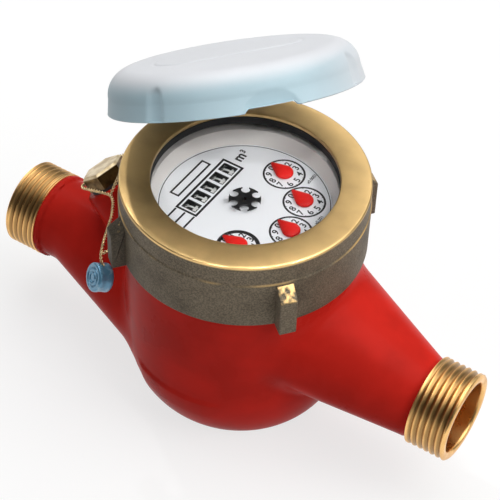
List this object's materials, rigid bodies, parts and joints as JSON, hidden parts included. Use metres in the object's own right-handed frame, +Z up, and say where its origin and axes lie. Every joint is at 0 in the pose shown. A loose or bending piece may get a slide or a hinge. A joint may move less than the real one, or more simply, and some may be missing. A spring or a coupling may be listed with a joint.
{
  "type": "water meter",
  "caption": "Dry-dial multi-jet water meter: cast bowl between two threaded pipe ends, brass ring, glazed dial with number wheels and pointers, hinged cap and wired seal.",
  "frame": {"origin": "centre of the flat base, under the register axis", "axes": "+X along the flow from the inlet to the outlet, +Z up the register axis"},
  "size_m": [0.19, 0.0944, 0.1563],
  "materials": {
    "red_paint": "glossy red enamel, bare brass at the threads",
    "cast_brass": "satin turned top, rough cast skirt",
    "plug_brass": "satin",
    "steel": "ground",
    "magnet": "sintered",
    "black_rubber": "matt",
    "washer": "matt",
    "clear_glass": "polished",
    "white_plastic": "moulded",
    "dial_white": "printed",
    "bezel_white": "moulded",
    "pointer_red": "moulded",
    "black_plastic": "moulded",
    "lid_plastic": "satin moulded",
    "wire_brass": "bare",
    "seal_blue": "moulded"
  },
  "bodies": {
    "root": {"meter_body": "red_paint", "inlet_strainer": "white_plastic", "chamber_basket": "white_plastic", "pivot_pin": "steel", "chamber_cover": "white_plastic", "pressure_plate": "plug_brass", "body_seal": "black_rubber", "regulating_screw": "plug_brass", "plug_washer": "washer", "adjuster_plug": "plug_brass", "register_can": "white_plastic", "train_plate": "white_plastic", "dial_plate": "dial_white", "number_shaft": "steel", "bezel_ring": "bezel_white", "glass": "clear_glass", "glass_gasket": "black_rubber", "register_ring": "cast_brass", "hinge_pin": "steel", "seal_wire": "wire_brass", "far_wire": "wire_brass", "lug_wire": "wire_brass", "seal": "seal_blue"},
    "impeller": {"impeller": "white_plastic", "drive_magnet": "magnet"},
    "star": {"follower_arbor": "steel", "follower_magnet": "magnet", "star_indicator": "black_plastic"},
    "first_gear": {"first_gear": "white_plastic"},
    "lid": {"lid": "lid_plastic"},
    "idler_1": {"idler_gear_1": "white_plastic"},
    "idler_2": {"idler_gear_2": "white_plastic"},
    "idler_3": {"idler_gear_3": "white_plastic"},
    "pointer_1": {"pointer_gear_1": "white_plastic", "pointer_1": "pointer_red"},
    "pointer_2": {"pointer_gear_2": "white_plastic", "pointer_2": "pointer_red"},
    "pointer_3": {"pointer_gear_3": "white_plastic", "pointer_3": "pointer_red"},
    "pointer_4": {"pointer_gear_4": "white_plastic", "pointer_4": "pointer_red"},
    "number_wheel_1": {"number_wheel_1": "black_plastic"},
    "number_wheel_2": {"number_wheel_2": "black_plastic"},
    "number_wheel_3": {"number_wheel_3": "black_plastic"},
    "number_wheel_4": {"number_wheel_4": "black_plastic"},
    "number_wheel_5": {"number_wheel_5": "black_plastic"}
  },
  "joints": [
    {"name": "impeller_spin", "type": "hinge", "parent": "root", "child": "impeller", "pos_m": [0, 0, 0.034], "axis": [0, 0, -1], "continuous": true},
    {"name": "star_spin", "type": "hinge", "parent": "root", "child": "star", "pos_m": [0, 0, 0.08], "axis": [0, 0, -1], "continuous": true},
    {"name": "first_gear_spin", "type": "hinge", "parent": "root", "child": "first_gear", "pos_m": [0.00872, -0.00637, 0.078], "axis": [0, 0, -1], "continuous": true},
    {"name": "pointer_4_spin", "type": "hinge", "parent": "root", "child": "pointer_4", "pos_m": [0.00935, -0.01835, 0.078], "axis": [0, 0, -1], "continuous": true},
    {"name": "idler_3_spin", "type": "hinge", "parent": "root", "child": "idler_3", "pos_m": [0.01642, -0.01382, 0.078], "axis": [0, 0, -1], "continuous": true},
    {"name": "pointer_3_spin", "type": "hinge", "parent": "root", "child": "pointer_3", "pos_m": [0.02045, -0.00251, 0.078], "axis": [0, 0, -1], "continuous": true},
    {"name": "idler_2_spin", "type": "hinge", "parent": "root", "child": "idler_2", "pos_m": [0.0128, 0.00097, 0.078], "axis": [0, 0, -1], "continuous": true},
    {"name": "pointer_2_spin", "type": "hinge", "parent": "root", "child": "pointer_2", "pos_m": [0.01645, 0.0124, 0.078], "axis": [0, 0, -1], "continuous": true},
    {"name": "idler_1_spin", "type": "hinge", "parent": "root", "child": "idler_1", "pos_m": [0.00854, 0.00959, 0.078], "axis": [0, 0, -1], "continuous": true},
    {"name": "pointer_1_spin", "type": "hinge", "parent": "root", "child": "pointer_1", "pos_m": [0.00322, 0.02035, 0.078], "axis": [0, 0, -1], "continuous": true},
    {"name": "number_wheel_1_spin", "type": "hinge", "parent": "root", "child": "number_wheel_1", "pos_m": [-0.0144, 0.0112, 0.0793], "axis": [0, -1, 0], "continuous": true},
    {"name": "number_wheel_2_spin", "type": "hinge", "parent": "root", "child": "number_wheel_2", "pos_m": [-0.0144, 0.0056, 0.0793], "axis": [0, -1, 0], "continuous": true},
    {"name": "number_wheel_3_spin", "type": "hinge", "parent": "root", "child": "number_wheel_3", "pos_m": [-0.0144, 0, 0.0793], "axis": [0, -1, 0], "continuous": true},
    {"name": "number_wheel_4_spin", "type": "hinge", "parent": "root", "child": "number_wheel_4", "pos_m": [-0.0144, -0.0056, 0.0793], "axis": [0, -1, 0], "continuous": true},
    {"name": "number_wheel_5_spin", "type": "hinge", "parent": "root", "child": "number_wheel_5", "pos_m": [-0.0144, -0.0112, 0.0793], "axis": [0, -1, 0], "continuous": true},
    {"name": "lid_hinge", "type": "hinge", "parent": "root", "child": "lid", "pos_m": [-0.03847, 0.03115, 0.0912], "axis": [-0.6293, -0.7771, 0], "range_deg": [-33, 80]}
  ],
  "couplings": [
    {"joint": "star_spin", "follows": "impeller_spin", "ratio": 1},
    {"joint": "first_gear_spin", "follows": "impeller_spin", "ratio": -0.28571},
    {"joint": "pointer_4_spin", "follows": "impeller_spin", "ratio": 0.071429},
    {"joint": "idler_3_spin", "follows": "impeller_spin", "ratio": -0.028571},
    {"joint": "pointer_3_spin", "follows": "impeller_spin", "ratio": 0.0071429},
    {"joint": "idler_2_spin", "follows": "impeller_spin", "ratio": -0.0028571},
    {"joint": "pointer_2_spin", "follows": "impeller_spin", "ratio": 0.00071429},
    {"joint": "idler_1_spin", "follows": "impeller_spin", "ratio": -0.00028571},
    {"joint": "pointer_1_spin", "follows": "impeller_spin", "ratio": 0.000071429},
    {"joint": "number_wheel_1_spin", "follows": "impeller_spin", "ratio": 0.0000071429},
    {"joint": "number_wheel_2_spin", "follows": "impeller_spin", "ratio": 0.00000071429},
    {"joint": "number_wheel_3_spin", "follows": "impeller_spin", "ratio": 0.000000071429},
    {"joint": "number_wheel_4_spin", "follows": "impeller_spin", "ratio": 0.0000000071429},
    {"joint": "number_wheel_5_spin", "follows": "impeller_spin", "ratio": 0.00000000071429}
  ]
}
